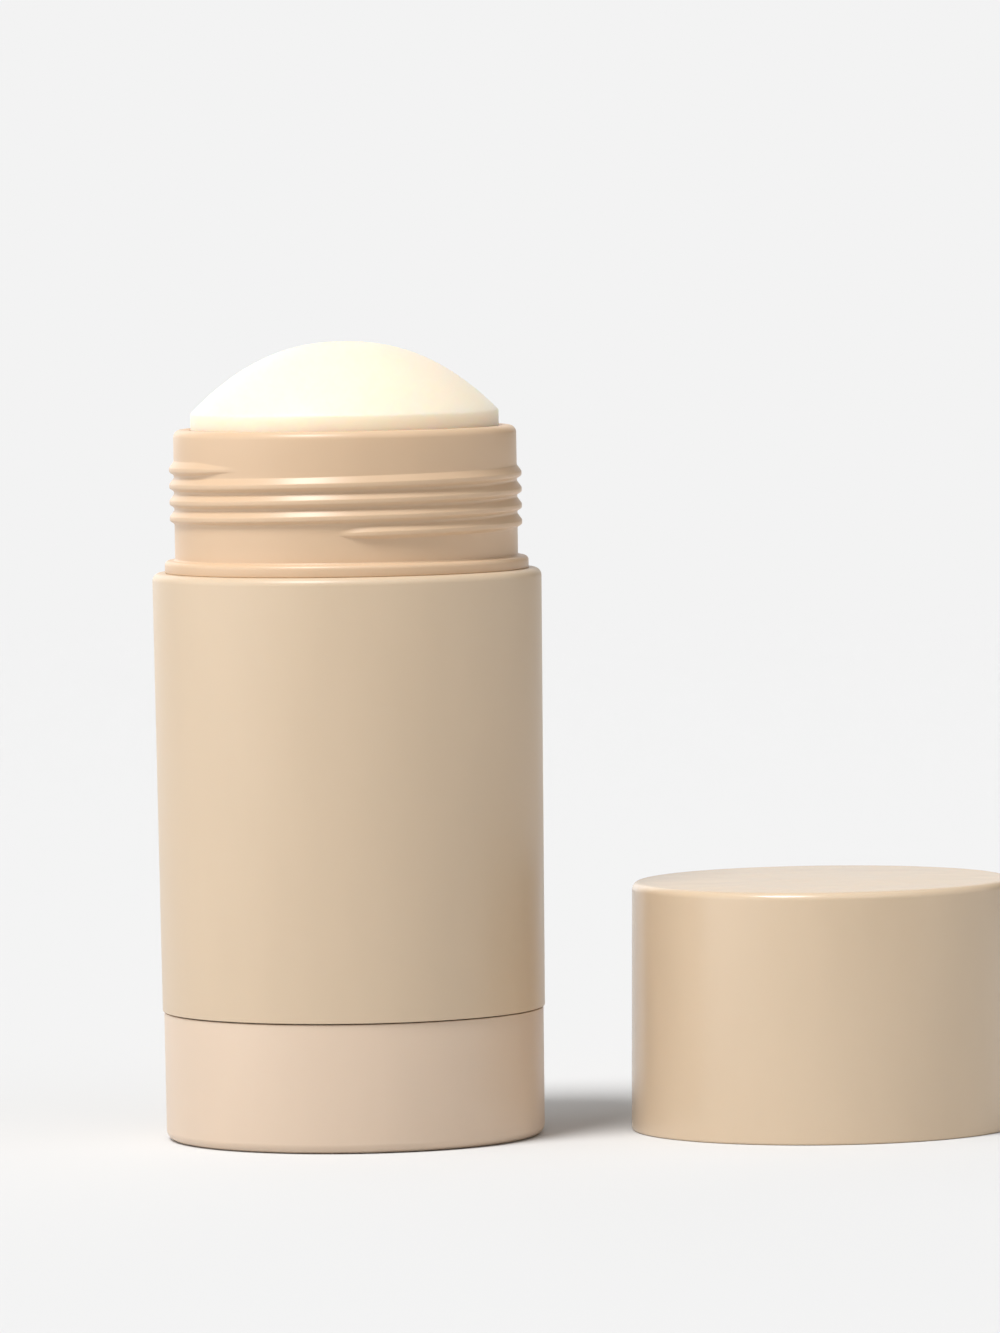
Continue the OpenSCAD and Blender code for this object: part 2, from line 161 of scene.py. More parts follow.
class ThreadSettings(bpy.types.PropertyGroup):
    pitch: FloatProperty(
        name="Pitch", description="Rise of the thread in one turn",
        default=2.1 * MM, min=0.0, unit="LENGTH",
    )
    height: FloatProperty(
        name="Height", description="How far the neck's ridge stands out",
        default=0.6 * MM, min=0.0, unit="LENGTH",
    )
    foot: FloatProperty(
        name="Foot", description="Width of the neck's ridge where it meets the neck",
        default=1.75 * MM, min=0.0, unit="LENGTH",
    )
    crest: FloatProperty(
        name="Crest", description="Width of the neck's ridge at its crest",
        default=0.55 * MM, min=0.0, unit="LENGTH",
    )
    lean: FloatProperty(
        name="Lean", description="How far the crest lies below the middle of the foot",
        default=0.22 * MM, min=0.0, unit="LENGTH",
    )
    rounding: FloatProperty(
        name="Rounding", description="Radius of the ridge's corners",
        default=0.3 * MM, min=0.0, unit="LENGTH",
    )
    turns: FloatProperty(name="Turns", description="Turns of the neck's thread", default=3.9, min=0.5)
    start: FloatProperty(
        name="Start", description="Where the neck's thread starts, as an angle about the axis from +X",
        default=math.radians(-94), subtype="ANGLE",
    )
    rise: FloatProperty(
        name="Rise", description="Height of the thread's start above the bead",
        default=3.8 * MM, min=0.0, unit="LENGTH",
    )
    nose: FloatProperty(
        name="Nose", description="Angle over which the thread grows at its start",
        default=math.radians(13), subtype="ANGLE",
    )
    tail: FloatProperty(
        name="Tail", description="Angle over which the thread fades at its end",
        default=math.radians(24), subtype="ANGLE",
    )
    cap_foot: FloatProperty(
        name="Cap foot", description="Width of the cap's ridge where it meets the liner",
        default=1.0 * MM, min=0.0, unit="LENGTH",
    )
    cap_crest: FloatProperty(
        name="Cap crest", description="Width of the cap's ridge at its crest",
        default=0.35 * MM, min=0.0, unit="LENGTH",
    )
    cap_turns: FloatProperty(name="Cap turns", description="Turns of the cap's thread", default=1.8, min=0.5)
    cap_start: FloatProperty(
        name="Cap start", description="Where the cap's thread starts, as an angle about the axis from +X",
        default=math.radians(90), subtype="ANGLE",
    )
    cap_clearance: FloatProperty(
        name="Cap clearance", description="Gap between the liner's ridge and the neck with the cap on",
        default=0.2 * MM, min=0.0, unit="LENGTH",
    )
    cap_margin: FloatProperty(
        name="Cap margin", description="How far the liner's threaded wall reaches past both ends",
        default=1.0 * MM, min=0.0, unit="LENGTH",
    )
    below: FloatProperty(
        name="Below", description="How far the neck's threaded wall reaches below the thread's start",
        default=1.2 * MM, min=0.0, unit="LENGTH",
    )
    above: FloatProperty(
        name="Above", description="How far the neck's threaded wall reaches above the thread's end",
        default=1.4 * MM, min=0.0, unit="LENGTH",
    )


class BarrelSettings(bpy.types.PropertyGroup):
    bore: FloatProperty(
        name="Bore", description="Inner radius, in which the product slides",
        default=20.2 * MM, min=0.0, unit="LENGTH",
    )
    wall: FloatProperty(
        name="Wall", description="Thickness of the wall below the bead",
        default=1.3 * MM, min=0.0, unit="LENGTH",
    )
    neck_wall: FloatProperty(
        name="Neck wall", description="Thickness of the wall that carries the thread",
        default=2.0 * MM, min=0.0, unit="LENGTH",
    )
    rim_rounding: FloatProperty(
        name="Rim rounding", description="Radius of the rim's outer edge",
        default=1.0 * MM, min=0.0, unit="LENGTH",
    )
    rim_inner_rounding: FloatProperty(
        name="Rim inner rounding", description="Radius of the rim's inner edge",
        default=0.4 * MM, min=0.0, unit="LENGTH",
    )
    bead: FloatProperty(
        name="Bead", description="Height of the bead that sits on the sleeve",
        default=1.6 * MM, min=0.0, unit="LENGTH",
    )
    bead_rounding: FloatProperty(
        name="Bead rounding", description="Radius of the bead's upper edge",
        default=0.6 * MM, min=0.0, unit="LENGTH",
    )
    neck_fillet: FloatProperty(
        name="Neck fillet", description="Radius of the hollow between the neck and the bead",
        default=0.3 * MM, min=0.0, unit="LENGTH",
    )
    floor: FloatProperty(
        name="Floor", description="Thickness of the floor",
        default=1.8 * MM, min=0.0, unit="LENGTH",
    )
    floor_rise: FloatProperty(
        name="Floor rise", description="Height of the floor's top above the sleeve's lower edge",
        default=5.8 * MM, min=0.0, unit="LENGTH",
    )
    hole: FloatProperty(
        name="Hole", description="Radius of the hole for the spindle",
        default=3.58 * MM, min=0.0, unit="LENGTH",
    )
    snap: FloatProperty(
        name="Snap", description="How far the snap bead under the sleeve's lip stands out",
        default=0.35 * MM, min=0.0, unit="LENGTH",
    )
    snap_height: FloatProperty(
        name="Snap height", description="Height of the snap bead",
        default=1.2 * MM, min=0.0, unit="LENGTH",
    )
    snap_gap: FloatProperty(
        name="Snap gap", description="Gap between the snap bead and the sleeve's lip",
        default=0.1 * MM, min=0.0, unit="LENGTH",
    )
    key: FloatProperty(
        name="Key", description="How far each of the two keys stands out under the bead",
        default=0.9 * MM, min=0.0, unit="LENGTH",
    )
    key_width: FloatProperty(
        name="Key width", description="Width of each key",
        default=3.0 * MM, min=0.0, unit="LENGTH",
    )
    guides: IntProperty(name="Guides", description="Number of guide ribs in the bore", default=4, min=1)
    guide_depth: FloatProperty(
        name="Guide depth", description="How far each guide rib stands into the bore",
        default=0.6 * MM, min=0.0, unit="LENGTH",
    )
    guide_width: FloatProperty(
        name="Guide width", description="Width of each guide rib",
        default=1.6 * MM, min=0.0, unit="LENGTH",
    )
    guide_drop: FloatProperty(
        name="Guide drop", description="How far below the rim the guide ribs end",
        default=12.0 * MM, min=0.0, unit="LENGTH",
    )


class DialSettings(bpy.types.PropertyGroup):
    draft: FloatProperty(
        name="Draft", description="How much smaller the radius is at the foot",
        default=0.08 * MM, min=0.0, unit="LENGTH",
    )
    wall: FloatProperty(
        name="Wall", description="Thickness of the wall",
        default=1.6 * MM, min=0.0, unit="LENGTH",
    )
    floor: FloatProperty(
        name="Floor", description="Thickness of the floor",
        default=1.8 * MM, min=0.0, unit="LENGTH",
    )
    foot_rounding: FloatProperty(
        name="Foot rounding", description="Radius of the lower edge",
        default=1.3 * MM, min=0.0, unit="LENGTH",
    )
    seam_rounding: FloatProperty(
        name="Seam rounding", description="Radius of the upper edge at the seam",
        default=0.12 * MM, min=0.0, unit="LENGTH",
    )
    height: FloatProperty(
        name="Height", description="Height of the dial's outside",
        default=16.55 * MM, min=0.0, unit="LENGTH",
    )
    foot: FloatProperty(
        name="Foot", description="Width of the flat ring that the pack stands on",
        default=3.0 * MM, min=0.0, unit="LENGTH",
    )
    recess: FloatProperty(
        name="Recess", description="Depth of the recess inside the foot ring",
        default=0.6 * MM, min=0.0, unit="LENGTH",
    )
    guide_radius: FloatProperty(
        name="Guide radius", description="Outer radius of the ring that runs in the barrel's skirt",
        default=20.0 * MM, min=0.0, unit="LENGTH",
    )
    guide_wall: FloatProperty(
        name="Guide wall", description="Thickness of the guide ring",
        default=1.2 * MM, min=0.0, unit="LENGTH",
    )
    guide_drop: FloatProperty(
        name="Guide drop", description="How far the guide ring stays below the dial's top",
        default=2.0 * MM, min=0.0, unit="LENGTH",
    )
    hub_wall: FloatProperty(
        name="Hub wall", description="How far the hub reaches past the corners of the spindle's foot",
        default=2.6 * MM, min=0.0, unit="LENGTH",
    )
    socket: FloatProperty(
        name="Socket", description="Side of the square socket for the spindle's foot",
        default=4.7 * MM, min=0.0, unit="LENGTH",
    )
    socket_gap: FloatProperty(
        name="Socket gap", description="Gap around the spindle's foot in its socket",
        default=0.05 * MM, min=0.0, unit="LENGTH",
    )
    gate_tip: FloatProperty(
        name="Gate tip", description="Radius of the flat tip of the gate mark under the dial",
        default=0.9 * MM, min=0.0, unit="LENGTH",
    )
    gate_radius: FloatProperty(
        name="Gate radius", description="Radius of the gate mark where it meets the recess",
        default=1.2 * MM, min=0.0, unit="LENGTH",
    )
    gate_height: FloatProperty(
        name="Gate height", description="How far the gate mark stands out of the recess",
        default=0.25 * MM, min=0.0, unit="LENGTH",
    )
    ring_radius: FloatProperty(
        name="Ring radius", description="Radius of the fine moulded ring in the recess",
        default=9.3 * MM, min=0.0, unit="LENGTH",
    )
    ring_width: FloatProperty(
        name="Ring width", description="Width of the fine moulded ring",
        default=0.6 * MM, min=0.0, unit="LENGTH",
    )
    ring_depth: FloatProperty(
        name="Ring depth", description="Depth of the fine moulded ring",
        default=0.15 * MM, min=0.0, unit="LENGTH",
    )
    webs: IntProperty(name="Webs", description="Number of webs between hub and guide ring", default=6, min=1)
    web_width: FloatProperty(
        name="Web width", description="Thickness of each web",
        default=1.2 * MM, min=0.0, unit="LENGTH",
    )
    web_drop: FloatProperty(
        name="Web drop", description="How far the webs stay below the dial's top",
        default=6.0 * MM, min=0.0, unit="LENGTH",
    )


class ProductSettings(bpy.types.PropertyGroup):
    dome: FloatProperty(
        name="Dome", description="Height of the dome above the straight side",
        default=9.1 * MM, min=0.0, unit="LENGTH",
    )
    power: FloatProperty(
        name="Power", description="How full the dome is: 2 gives a parabola, more gives fuller shoulders",
        default=2.25, min=1.5, max=4.0,
    )
    edge_rounding: FloatProperty(
        name="Edge rounding", description="Radius where the dome meets the straight side",
        default=0.5 * MM, min=0.0, unit="LENGTH",
    )
    core: FloatProperty(
        name="Core", description="Radius of the hollow around the spindle",
        default=4.25 * MM, min=0.0, unit="LENGTH",
    )
    core_height: FloatProperty(
        name="Core height", description="How far the hollow reaches above the spindle",
        default=2.4 * MM, min=0.0, unit="LENGTH",
    )
    notch_depth: FloatProperty(
        name="Notch depth", description="Depth of each notch for a guide rib, from the bore",
        default=0.85 * MM, min=0.0, unit="LENGTH",
    )
    notch_width: FloatProperty(
        name="Notch width", description="Width of each notch for a guide rib",
        default=2.1 * MM, min=0.0, unit="LENGTH",
    )
    anchor: FloatProperty(
        name="Anchor", description="Outer radius of the pocket around the anchor ring",
        default=13.05 * MM, min=0.0, unit="LENGTH",
    )
    anchor_wall: FloatProperty(
        name="Anchor wall", description="Width of the pocket around the anchor ring",
        default=1.3 * MM, min=0.0, unit="LENGTH",
    )
    anchor_height: FloatProperty(
        name="Anchor height", description="Height of the pocket around the anchor ring",
        default=7.05 * MM, min=0.0, unit="LENGTH",
    )
    anchor_parts: IntProperty(
        name="Anchor parts", description="Number of parts of the anchor ring", default=4, min=1,
    )
    anchor_part: FloatProperty(
        name="Anchor part", description="Angle of each of the pocket's parts",
        default=math.radians(60.5), subtype="ANGLE",
    )


class CapSettings(bpy.types.PropertyGroup):
    draft: FloatProperty(
        name="Draft", description="How much smaller the shell's radius is at its top",
        default=0.5 * MM, min=0.0, unit="LENGTH",
    )
    top: FloatProperty(
        name="Top", description="Thickness of the shell's top",
        default=1.2 * MM, min=0.0, unit="LENGTH",
    )
    top_rounding: FloatProperty(
        name="Top rounding", description="Radius of the shell's top edge",
        default=1.0 * MM, min=0.0, unit="LENGTH",
    )
    mouth_rounding: FloatProperty(
        name="Mouth rounding", description="Radius of the shell's mouth",
        default=0.3 * MM, min=0.0, unit="LENGTH",
    )
    gap: FloatProperty(
        name="Gap", description="Gap between the shell and the liner",
        default=0.05 * MM, min=0.0, unit="LENGTH",
    )
    liner_wall: FloatProperty(
        name="Liner wall", description="Thickness of the liner's wall",
        default=0.8 * MM, min=0.0, unit="LENGTH",
    )
    liner_top: FloatProperty(
        name="Liner top", description="Thickness of the liner's top",
        default=0.9 * MM, min=0.0, unit="LENGTH",
    )


def hex_colour(text):
    """Turns an sRGB hex colour into the linear numbers that Blender's shaders use."""
    channels = [int(text[i : i + 2], 16) / 255 for i in (1, 3, 5)]
    return tuple(c / 12.92 if c <= 0.04045 else ((c + 0.055) / 1.055) ** 2.4 for c in channels)


class FinishSettings(bpy.types.PropertyGroup):
    sleeve: FloatVectorProperty(
        name="Sleeve", description="Colour of the sleeve's plastic",
        default=hex_colour("#D0BA9F"), subtype="COLOR", size=3, min=0.0, max=1.0,
    )
    barrel: FloatVectorProperty(
        name="Barrel", description="Colour of the barrel's plastic",
        default=hex_colour("#D4B696"), subtype="COLOR", size=3, min=0.0, max=1.0,
    )
    dial: FloatVectorProperty(
        name="Dial", description="Colour of the dial's plastic, slightly pinker than the sleeve's",
        default=hex_colour("#D5BFA9"), subtype="COLOR", size=3, min=0.0, max=1.0,
    )
    cap: FloatVectorProperty(
        name="Cap", description="Colour of the cap's shell",
        default=hex_colour("#D1BBA0"), subtype="COLOR", size=3, min=0.0, max=1.0,
    )
    liner: FloatVectorProperty(
        name="Liner", description="Colour of the cap's liner",
        default=hex_colour("#D1BBA2"), subtype="COLOR", size=3, min=0.0, max=1.0,
    )
    screw: FloatVectorProperty(
        name="Screw", description="Colour of the spindle's and the elevator's acetal",
        default=hex_colour("#F0EFEA"), subtype="COLOR", size=3, min=0.0, max=1.0,
    )
    wax: FloatVectorProperty(
        name="Wax", description="Colour of the waxy product",
        default=hex_colour("#FFE6D0"), subtype="COLOR", size=3, min=0.0, max=1.0,
    )
    sleeve_roughness: FloatProperty(
        name="Sleeve roughness", description="Roughness of the sleeve's plastic",
        default=0.36, subtype="FACTOR", min=0.0, max=1.0,
    )
    barrel_roughness: FloatProperty(
        name="Barrel roughness", description="Roughness of the barrel's plastic",
        default=0.37, subtype="FACTOR", min=0.0, max=1.0,
    )
    dial_roughness: FloatProperty(
        name="Dial roughness", description="Roughness of the dial's plastic",
        default=0.36, subtype="FACTOR", min=0.0, max=1.0,
    )
    cap_roughness: FloatProperty(
        name="Cap roughness", description="Roughness of the cap's shell, the glossiest of the mouldings",
        default=0.24, subtype="FACTOR", min=0.0, max=1.0,
    )
    liner_roughness: FloatProperty(
        name="Liner roughness", description="Roughness of the cap's liner",
        default=0.34, subtype="FACTOR", min=0.0, max=1.0,
    )
    screw_roughness: FloatProperty(
        name="Screw roughness", description="Roughness of the spindle's and the elevator's acetal",
        default=0.34, subtype="FACTOR", min=0.0, max=1.0,
    )
    wax_roughness: FloatProperty(
        name="Wax roughness", description="Roughness of the waxy product",
        default=0.42, subtype="FACTOR", min=0.0, max=1.0,
    )


class StageSettings(bpy.types.PropertyGroup):
    camera: FloatVectorProperty(
        name="Camera", description="Place of the camera",
        default=(-40.05 * MM, -1261.3 * MM, 126.2 * MM), subtype="TRANSLATION", unit="LENGTH", size=3,
    )
    yaw: FloatProperty(
        name="Yaw", description="How far the camera is turned to the right",
        default=math.radians(2.71), subtype="ANGLE",
    )
    pitch: FloatProperty(
        name="Pitch", description="How far the camera looks down",
        default=math.radians(2.973), subtype="ANGLE",
    )
    roll: FloatProperty(
        name="Roll", description="How far the camera is rolled",
        default=math.radians(0.879), subtype="ANGLE",
    )
    lens: FloatProperty(
        name="Lens", description="Focal length in millimetres for a 36 mm sensor",
        default=263.39, min=20.0,
    )
    sun_side: FloatProperty(
        name="Sun side", description="How far the main light stands to the left of the camera",
        default=math.radians(44), subtype="ANGLE",
    )
    sun_height: FloatProperty(
        name="Sun height", description="Height of the main light above the horizon",
        default=math.radians(63), subtype="ANGLE",
    )
    sun_size: FloatProperty(
        name="Sun size", description="Angle that the main light fills, which softens its shadows",
        default=math.radians(20), subtype="ANGLE",
    )
    sun_strength: FloatProperty(
        name="Sun strength", description="Strength of the main light",
        default=2.75, min=0.0,
    )
    ceiling_light: FloatProperty(
        name="Ceiling light", description="Strength of the soft light from straight above",
        default=0.65, min=0.0,
    )
    ground_light: FloatProperty(
        name="Ground light", description="Strength of the light from beyond the floor's edge",
        default=0.9, min=0.0,
    )
    floor_colour: FloatVectorProperty(
        name="Floor colour", description="Colour of the floor",
        default=(0.665, 0.665, 0.665), subtype="COLOR", size=3, min=0.0, max=1.0,
    )
    floor_radius: FloatProperty(
        name="Floor radius", description="Radius of the floor",
        default=1.6, min=0.0, unit="LENGTH",
    )
    fade_start: FloatProperty(
        name="Fade start", description="Distance from the object at which the floor starts to fade",
        default=0.45, min=0.0, unit="LENGTH",
    )
    fade_end: FloatProperty(
        name="Fade end", description="Distance from the object at which the floor has faded out",
        default=1.5, min=0.0, unit="LENGTH",
    )
    backdrop: FloatVectorProperty(
        name="Backdrop", description="Even colour that the camera sees behind the floor",
        default=hex_colour("#F3F3F3"), subtype="COLOR", size=3, min=0.0, max=1.0,
    )


class DeodorantSettings(bpy.types.PropertyGroup):
    sleeve: PointerProperty(type=SleeveSettings)
    thread: PointerProperty(type=ThreadSettings)
    barrel: PointerProperty(type=BarrelSettings)
    dial: PointerProperty(type=DialSettings)
    product: PointerProperty(type=ProductSettings)
    cap: PointerProperty(type=CapSettings)
    finish: PointerProperty(type=FinishSettings)
    stage: PointerProperty(type=StageSettings)


# Shapes


def draw_profile(bm, corners, closed=False, steps=6):
    """Draws a line through (radius, height, rounding) corners and rounds each of them to its radius."""
    verts = [bm.verts.new((radius, 0, height)) for radius, height, rounding in corners]
    for first, second in zip(verts, verts[1:]):
        bm.edges.new((first, second))
    if closed:
        bm.edges.new((verts[-1], verts[0]))
    places = [vert.co.copy() for vert in verts]
    for i, vert in enumerate(verts):
        rounding = corners[i][2]
        if rounding:
            back = places[i - 1] - places[i]
            ahead = places[(i + 1) % len(places)] - places[i]
            reach = rounding / math.tan(back.angle(ahead) / 2)
            bmesh.ops.bevel(
                bm, geom=[vert], offset=reach, offset_type="OFFSET", segments=steps, profile=0.5,
                affect="VERTICES", clamp_overlap=False, material=-1,
            )


def merge(bm):
    """Joins points that lie on each other, as spinning leaves them, and turns every face outwards."""
    bmesh.ops.remove_doubles(bm, verts=bm.verts, dist=MERGE)
    bmesh.ops.dissolve_degenerate(bm, edges=bm.edges, dist=MERGE / 10)
    bmesh.ops.recalc_face_normals(bm, faces=bm.faces)


def add_to(bm, part):
    """Copies a part's mesh into a larger one."""
    mesh = bpy.data.meshes.new("part")
    part.to_mesh(mesh)
    part.free()
    bm.from_mesh(mesh)
    bpy.data.meshes.remove(mesh)


def spin_sector(bm, climb=0.0):
    """Spins a profile through one sector of a turn, climbing by a pitch in each full turn, and copies
    the sector round. A full turn made sector by sector is much quicker than in one spin."""
    bmesh.ops.spin(
        bm, geom=bm.verts[:] + bm.edges[:], cent=(0, 0, 0), axis=(0, 0, 1),
        dvec=(0, 0, climb / COLUMNS), angle=2 * math.pi / SECTORS, steps=COLUMNS // SECTORS,
    )
    sector = bm.verts[:] + bm.edges[:] + bm.faces[:]
    for i in range(1, SECTORS):
        copy = bmesh.ops.duplicate(bm, geom=sector)["geom"]
        moved = [item for item in copy if isinstance(item, bmesh.types.BMVert)]
        turn = Matrix.Rotation(i * 2 * math.pi / SECTORS, 3, "Z")
        bmesh.ops.rotate(bm, verts=moved, cent=(0, 0, 0), matrix=turn)
        bmesh.ops.translate(bm, verts=moved, vec=(0, 0, climb * i / SECTORS))
    bmesh.ops.remove_doubles(bm, verts=bm.verts, dist=MERGE)


def lathe(bm, corners, closed=False, steps=6):
    """Turns a profile about the axis into a ring, a disc or an open wall."""
    part = bmesh.new()
    draw_profile(part, corners, closed, steps)
    spin_sector(part)
    add_to(bm, part)


def threaded_wall(bm, radius, height, foot, crest, lean, rounding, pitch, turns, start, z, nose, tail,
                  low, high):
    """Makes the part of a round wall that carries a right-hand thread. One pitch of its profile runs up
    around the axis, so that its edges follow the ridge. A height below nought gives an inner thread."""
    foot_low = lean - foot / 2
    foot_high = lean + foot / 2
    window = foot_low - (pitch - foot) / 2
    crest_radius = radius + height
    first_turn = math.floor((low - z) / pitch) - 2
    turns_made = math.ceil((high - low) / pitch) + 4
    # Height of the crest's middle on the profile that the spin starts from, which lies towards +X
    base = z + pitch * ((-start) % (2 * math.pi) / (2 * math.pi) + first_turn)
    part = bmesh.new()
    draw_profile(
        part,
        [
            (radius, base + window, 0),
            (radius, base + foot_low, rounding),
            (crest_radius, base - crest / 2, rounding),
            (crest_radius, base + crest / 2, rounding),
            (radius, base + foot_high, rounding),
            (radius, base + window + pitch, 0),
        ],
        steps=4,
    )
    spin_sector(part, pitch)
    one_turn = part.verts[:] + part.edges[:] + part.faces[:]
    for turn in range(1, turns_made):
        copy = bmesh.ops.duplicate(part, geom=one_turn)["geom"]
        moved = [item for item in copy if isinstance(item, bmesh.types.BMVert)]
        bmesh.ops.translate(part, verts=moved, vec=(0, 0, turn * pitch))
    bmesh.ops.remove_doubles(part, verts=part.verts, dist=MERGE)

    for vert in part.verts:
        around = (math.atan2(vert.co.y, vert.co.x) - start) % (2 * math.pi)
        offset = vert.co.z - z - pitch * around / (2 * math.pi)
        turn = math.floor((offset - window) / pitch)
        from_crest = offset - turn * pitch
        turned = around + turn * 2 * math.pi
        left = turns * 2 * math.pi - turned
        at_nose = math.sin(min(1, max(0, turned / nose)) * math.pi / 2)
        at_tail = min(1, max(0, left / tail))
        grown = min(at_nose, at_tail * at_tail * (3 - 2 * at_tail))
        if foot_low - rounding < from_crest < foot_high + rounding:
            out = math.hypot(vert.co.x, vert.co.y)
            scale = (radius + (out - radius) * grown) / out
            slip = from_crest * (1 - grown) * FADE_SLIP
            vert.co = (vert.co.x * scale, vert.co.y * scale, vert.co.z - slip)
    # The wall ends level, where the ridge no longer reaches
    for vert in part.verts:
        vert.co.z = min(high, max(low, vert.co.z))
    bmesh.ops.remove_doubles(part, verts=part.verts, dist=MERGE)
    add_to(bm, part)


def bars(count, first, inner, outer, width, low, high):
    """Makes upright bars around the axis, as the ribs, webs, keys and notches need."""
    bm = bmesh.new()
    for i in range(count):
        turn = Matrix.Rotation(first + i * 2 * math.pi / count, 4, "Z")
        place = Matrix.Translation(((inner + outer) / 2, 0, (low + high) / 2))
        size = Matrix.Diagonal((outer - inner, width, high - low, 1))
        bmesh.ops.create_cube(bm, size=1, matrix=turn @ place @ size)
    return bm


def combine(bm, other, operation):
    """Joins another shape to a mesh or cuts it out, for UNION or DIFFERENCE."""
    shapes = []
    for source in (bm, other):
        mesh = bpy.data.meshes.new("shape")
        source.to_mesh(mesh)
        shape = bpy.data.objects.new("shape", mesh)
        bpy.context.scene.collection.objects.link(shape)
        shapes.append(shape)
    modifier = shapes[0].modifiers.new("combine", "BOOLEAN")
    modifier.operation = operation
    modifier.solver = "EXACT"
    modifier.object = shapes[1]
    bpy.context.view_layer.update()
    result = bpy.data.meshes.new_from_object(shapes[0].evaluated_get(bpy.context.evaluated_depsgraph_get()))
    bm.clear()
    bm.from_mesh(result)
    other.free()
    bpy.data.meshes.remove(result)
    for shape in shapes:
        bpy.data.meshes.remove(shape.data)


def finish_piece(bm, node, material, centre=(0, 0, 0)):
    """Turns a mesh into the piece that stands for a node: smooth, with its finish, riding on its body."""
    bmesh.ops.translate(bm, verts=bm.verts, vec=centre)
    mesh = bpy.data.meshes.new(node + "_dressed")
    bm.to_mesh(mesh)
    bm.free()
    mesh.shade_smooth()
    mesh.set_sharp_from_angle(angle=SHARP_ANGLE)
    mesh.materials.append(material)
    piece = bpy.data.objects.new(node + "_dressed", mesh)
    bpy.context.scene.collection.objects.link(piece)
    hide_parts(node)
    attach(piece, frame["nodes"][node]["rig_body"])
    return piece


# Materials


def add_node(tree, kind, inputs=None, **settings):
    """Adds a node with its settings, and gives each of its named inputs a value or a link."""
    node = tree.nodes.new(kind)
    for name, value in settings.items():
        setattr(node, name, value)
    for name, value in (inputs or {}).items():
        if isinstance(value, bpy.types.NodeSocket):
            tree.links.new(value, node.inputs[name])
        else:
            node.inputs[name].default_value = value
    return node


def start_material(name):
    """Makes an empty material and returns it with its node tree and Object coordinates."""
    material = bpy.data.materials.new(name)
    material.use_nodes = True
    tree = material.node_tree
    tree.nodes.clear()
    coordinates = add_node(tree, "ShaderNodeTexCoord").outputs["Object"]
    return material, tree, coordinates


def per_metre(size):
    """Scale of a noise pattern whose grains have this size in metres."""
    return 1 / size


def moulded_plastic(name, colour, roughness, gloss_spread=0.03, grain=0.3 * MM, grain_depth=0.0012 * MM):
    """Injection-moulded polypropylene or acetal: a satin skin that takes the fine grain of its steel
    mould, very slightly uneven in gloss and colour along the flow, and lets a little light into itself."""
    material, tree, coordinates = start_material(name)
    # Flow lines run up the wall, so the clouds are drawn out along the height
    stretched = add_node(tree, "ShaderNodeMapping", {"Vector": coordinates, "Scale": (1.0, 1.0, 0.3)})
    clouds = add_node(
        tree, "ShaderNodeTexNoise",
        {"Vector": stretched.outputs["Vector"], "Scale": per_metre(7 * MM), "Detail": 2.0, "Roughness": 0.5},
    )
    darker = tuple(c * 0.97 for c in colour) + (1.0,)
    lighter = tuple(min(1.0, c * 1.03) for c in colour) + (1.0,)
    tint = add_node(
        tree, "ShaderNodeMix", {0: clouds.outputs["Fac"], 6: darker, 7: lighter}, data_type="RGBA"
    )
    spread = add_node(
        tree, "ShaderNodeMapRange",
        {"Value": clouds.outputs["Fac"], "From Min": 0.3, "From Max": 0.7,
         "To Min": roughness - gloss_spread, "To Max": roughness + gloss_spread},
    )
    fine = add_node(
        tree, "ShaderNodeTexNoise",
        {"Vector": coordinates, "Scale": per_metre(grain), "Detail": 2.0, "Roughness": 0.6},
    )
    bump = add_node(
        tree, "ShaderNodeBump",
        {"Height": fine.outputs["Fac"], "Strength": 1.0, "Distance": grain_depth},
    )
    surface = add_node(
        tree, "ShaderNodeBsdfPrincipled",
        {"Base Color": tint.outputs[2], "Roughness": spread.outputs["Result"], "IOR": 1.49,
         "Subsurface Weight": 0.08, "Subsurface Radius": (1.0, 0.6, 0.4), "Subsurface Scale": 1.2 * MM,
         "Normal": bump.outputs["Normal"]},
    )
    add_node(tree, "ShaderNodeOutputMaterial", {"Surface": surface.outputs["BSDF"]})
    return material


def poured_wax(name, colour, roughness):
    """Waxy deodorant solid, poured warm and set in its mould: light goes a few millimetres into it, and
    its surface is smooth with a faint unevenness from cooling."""
    material, tree, coordinates = start_material(name)
    slow = add_node(
        tree, "ShaderNodeTexNoise",
        {"Vector": coordinates, "Scale": per_metre(9 * MM), "Detail": 2.0, "Roughness": 0.5},
    )
    fine = add_node(
        tree, "ShaderNodeTexNoise",
        {"Vector": coordinates, "Scale": per_metre(0.8 * MM), "Detail": 3.0, "Roughness": 0.6},
    )
    darker = tuple(c * 0.98 for c in colour) + (1.0,)
    lighter = tuple(min(1.0, c * 1.01) for c in colour) + (1.0,)
    tint = add_node(
        tree, "ShaderNodeMix", {0: slow.outputs["Fac"], 6: darker, 7: lighter}, data_type="RGBA"
    )
    soft = add_node(
        tree, "ShaderNodeBump",
        {"Height": slow.outputs["Fac"], "Strength": 1.0, "Distance": 0.02 * MM},
    )
    bump = add_node(
        tree, "ShaderNodeBump",
        {"Height": fine.outputs["Fac"], "Strength": 1.0, "Distance": 0.006 * MM,
         "Normal": soft.outputs["Normal"]},
    )
    surface = add_node(
        tree, "ShaderNodeBsdfPrincipled",
        {"Base Color": tint.outputs[2], "Roughness": roughness, "IOR": 1.44,
         "Subsurface Weight": 1.0, "Subsurface Radius": (1.0, 0.7, 0.45), "Subsurface Scale": 5.0 * MM,
         "Normal": bump.outputs["Normal"]},
    )
    add_node(tree, "ShaderNodeOutputMaterial", {"Surface": surface.outputs["BSDF"]})
    return material


